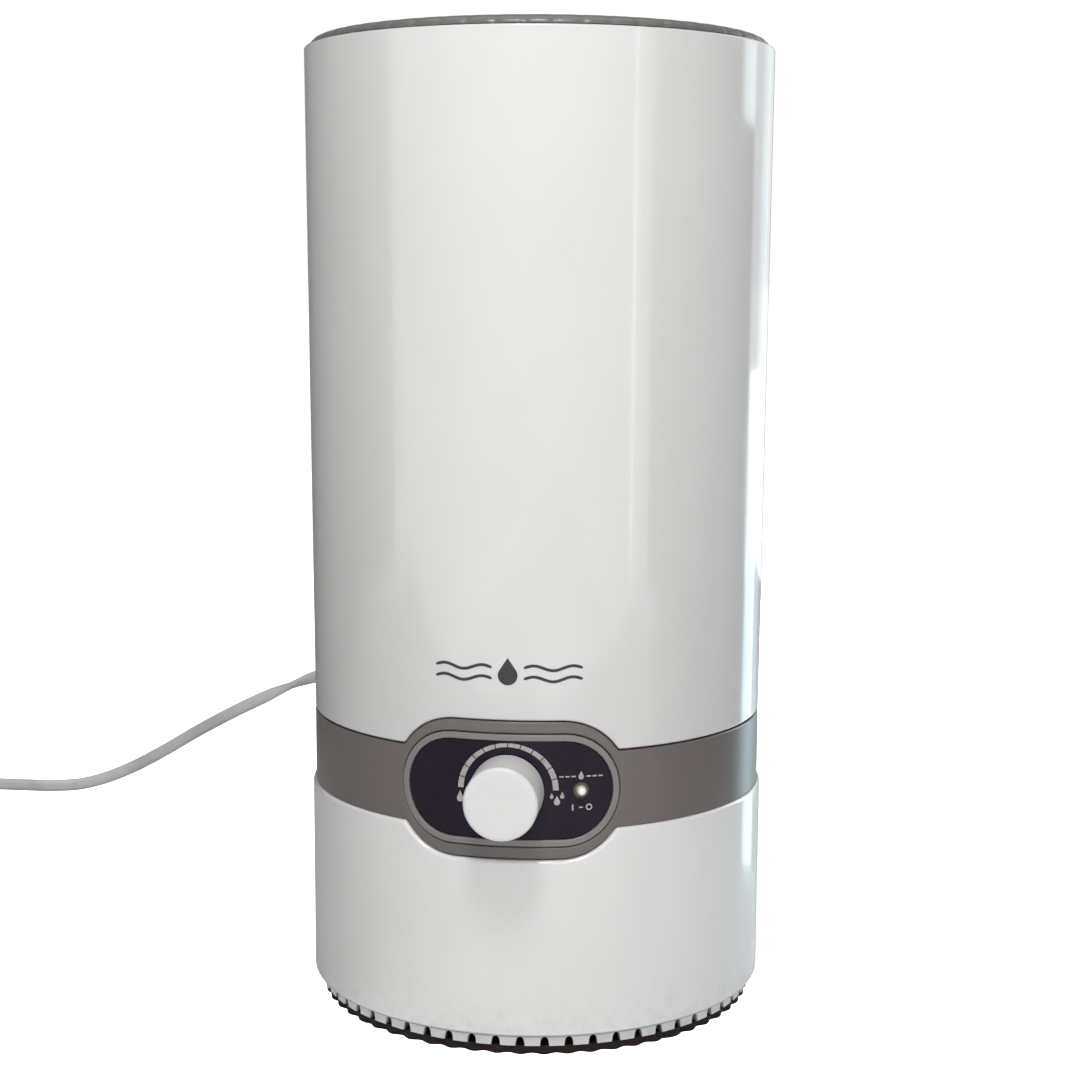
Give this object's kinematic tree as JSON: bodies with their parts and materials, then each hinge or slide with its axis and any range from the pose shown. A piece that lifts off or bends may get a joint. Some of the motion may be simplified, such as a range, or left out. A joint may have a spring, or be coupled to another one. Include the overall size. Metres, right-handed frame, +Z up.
{
  "type": "cool mist humidifier",
  "caption": "Round cool mist humidifier with a lift-off tank under a turning mist nozzle, and a grey control band with a knob on a dark panel.",
  "frame": {"origin": "on the floor, under the middle of the round body", "axes": "+Z up along the body's axis, controls face -Y"},
  "size_m": [0.5407, 0.3816, 0.396],
  "materials": {
    "white_gloss": "white glossy moulded plastic",
    "taupe": "taupe grey satin moulded plastic",
    "lid_grey": "warm grey satin moulded plastic",
    "bezel_grey": "lighter grey satin moulded plastic",
    "panel_black": "near-black glossy panel",
    "dark_plastic": "dark brown moulded plastic",
    "foot_rubber": "grey rubber",
    "black_rubber": "black rubber",
    "silicone": "translucent pale silicone",
    "clear_lens": "diffusing clear plastic",
    "lamp": "indicator lamp",
    "natural_plastic": "natural white moulded plastic",
    "black_plastic": "black moulded plastic",
    "circuit_board": "green circuit board",
    "steel": "zinc-plated steel",
    "disc_metal": "metal-faced ceramic disc",
    "aluminium": "extruded aluminium",
    "brass": "nickel-free brass",
    "cord_white": "white PVC cord sheath"
  },
  "bodies": {
    "base": {"base_floor": "white_gloss", "disc_well": "natural_plastic", "air_inlet": "natural_plastic", "bottom_plate": "dark_plastic", "rubber_feet": "foot_rubber", "bottom_screws": "steel", "intake_skirt": "white_gloss", "base_housing": "white_gloss", "control_band": "taupe", "bezel_ring": "bezel_grey", "control_panel": "panel_black", "indicator_lens": "clear_lens", "indicator_led": "lamp", "control_board": "circuit_board", "potentiometer": "steel", "water_basin": "natural_plastic", "float_cap": "natural_plastic", "transducer_disc": "disc_metal", "transducer_seal": "black_rubber", "transducer_holder": "steel", "transducer_screws": "steel", "fan_frame": "black_plastic", "fan_motor": "black_plastic", "fan_screws": "steel", "air_duct": "natural_plastic", "driver_board": "circuit_board", "heat_sink": "aluminium", "power_supply": "circuit_board", "strain_relief": "cord_white", "power_cord": "cord_white", "cord_coil": "cord_white", "cord_tie": "black_plastic", "plug_lead": "cord_white", "plug_body": "cord_white", "plug_blades": "brass"},
    "knob": {"knob": "white_gloss", "knob_shaft": "steel"},
    "float": {"float_ring": "natural_plastic"},
    "fan": {"fan_impeller": "black_plastic"},
    "tank": {"tank_shell": "white_gloss", "tank_floor": "white_gloss", "mist_tube": "natural_plastic", "tube_seal": "silicone", "valve_guide": "natural_plastic", "valve_spring": "steel"},
    "valve": {"valve_plunger": "natural_plastic", "valve_seal": "black_rubber"},
    "lid": {"lid": "lid_grey", "lid_collar": "lid_grey"},
    "nozzle": {"mist_nozzle": "lid_grey"}
  },
  "joints": [
    {"name": "knob_turn", "type": "hinge", "parent": "base", "child": "knob", "pos_m": [0, -0.092, 0.1048], "axis": [0, 1, 0], "range_deg": [0, 270]},
    {"name": "float_rise", "type": "slide", "parent": "base", "child": "float", "axis": [0, 0, 1], "range_m": [0, 0.009]},
    {"name": "fan_spin", "type": "hinge", "parent": "base", "child": "fan", "pos_m": [0, 0.05, 0.02], "axis": [0, 0, 1], "continuous": true},
    {"name": "tank_lift", "type": "slide", "parent": "base", "child": "tank", "axis": [0, 0, 1], "range_m": [0, 0.08]},
    {"name": "valve_close", "type": "slide", "parent": "tank", "child": "valve", "axis": [0, 0, -1], "range_m": [0, 0.004], "deforming": ["valve_spring"]},
    {"name": "lid_lift", "type": "slide", "parent": "tank", "child": "lid", "axis": [0, 0, 1], "range_m": [0, 0.06]},
    {"name": "nozzle_turn", "type": "hinge", "parent": "lid", "child": "nozzle", "pos_m": [0, 0, 0.39], "axis": [0, 0, 1], "continuous": true}
  ],
  "couplings": [
    {"joint": "valve_close", "follows": "tank_lift", "ratio": 0.05}
  ]
}
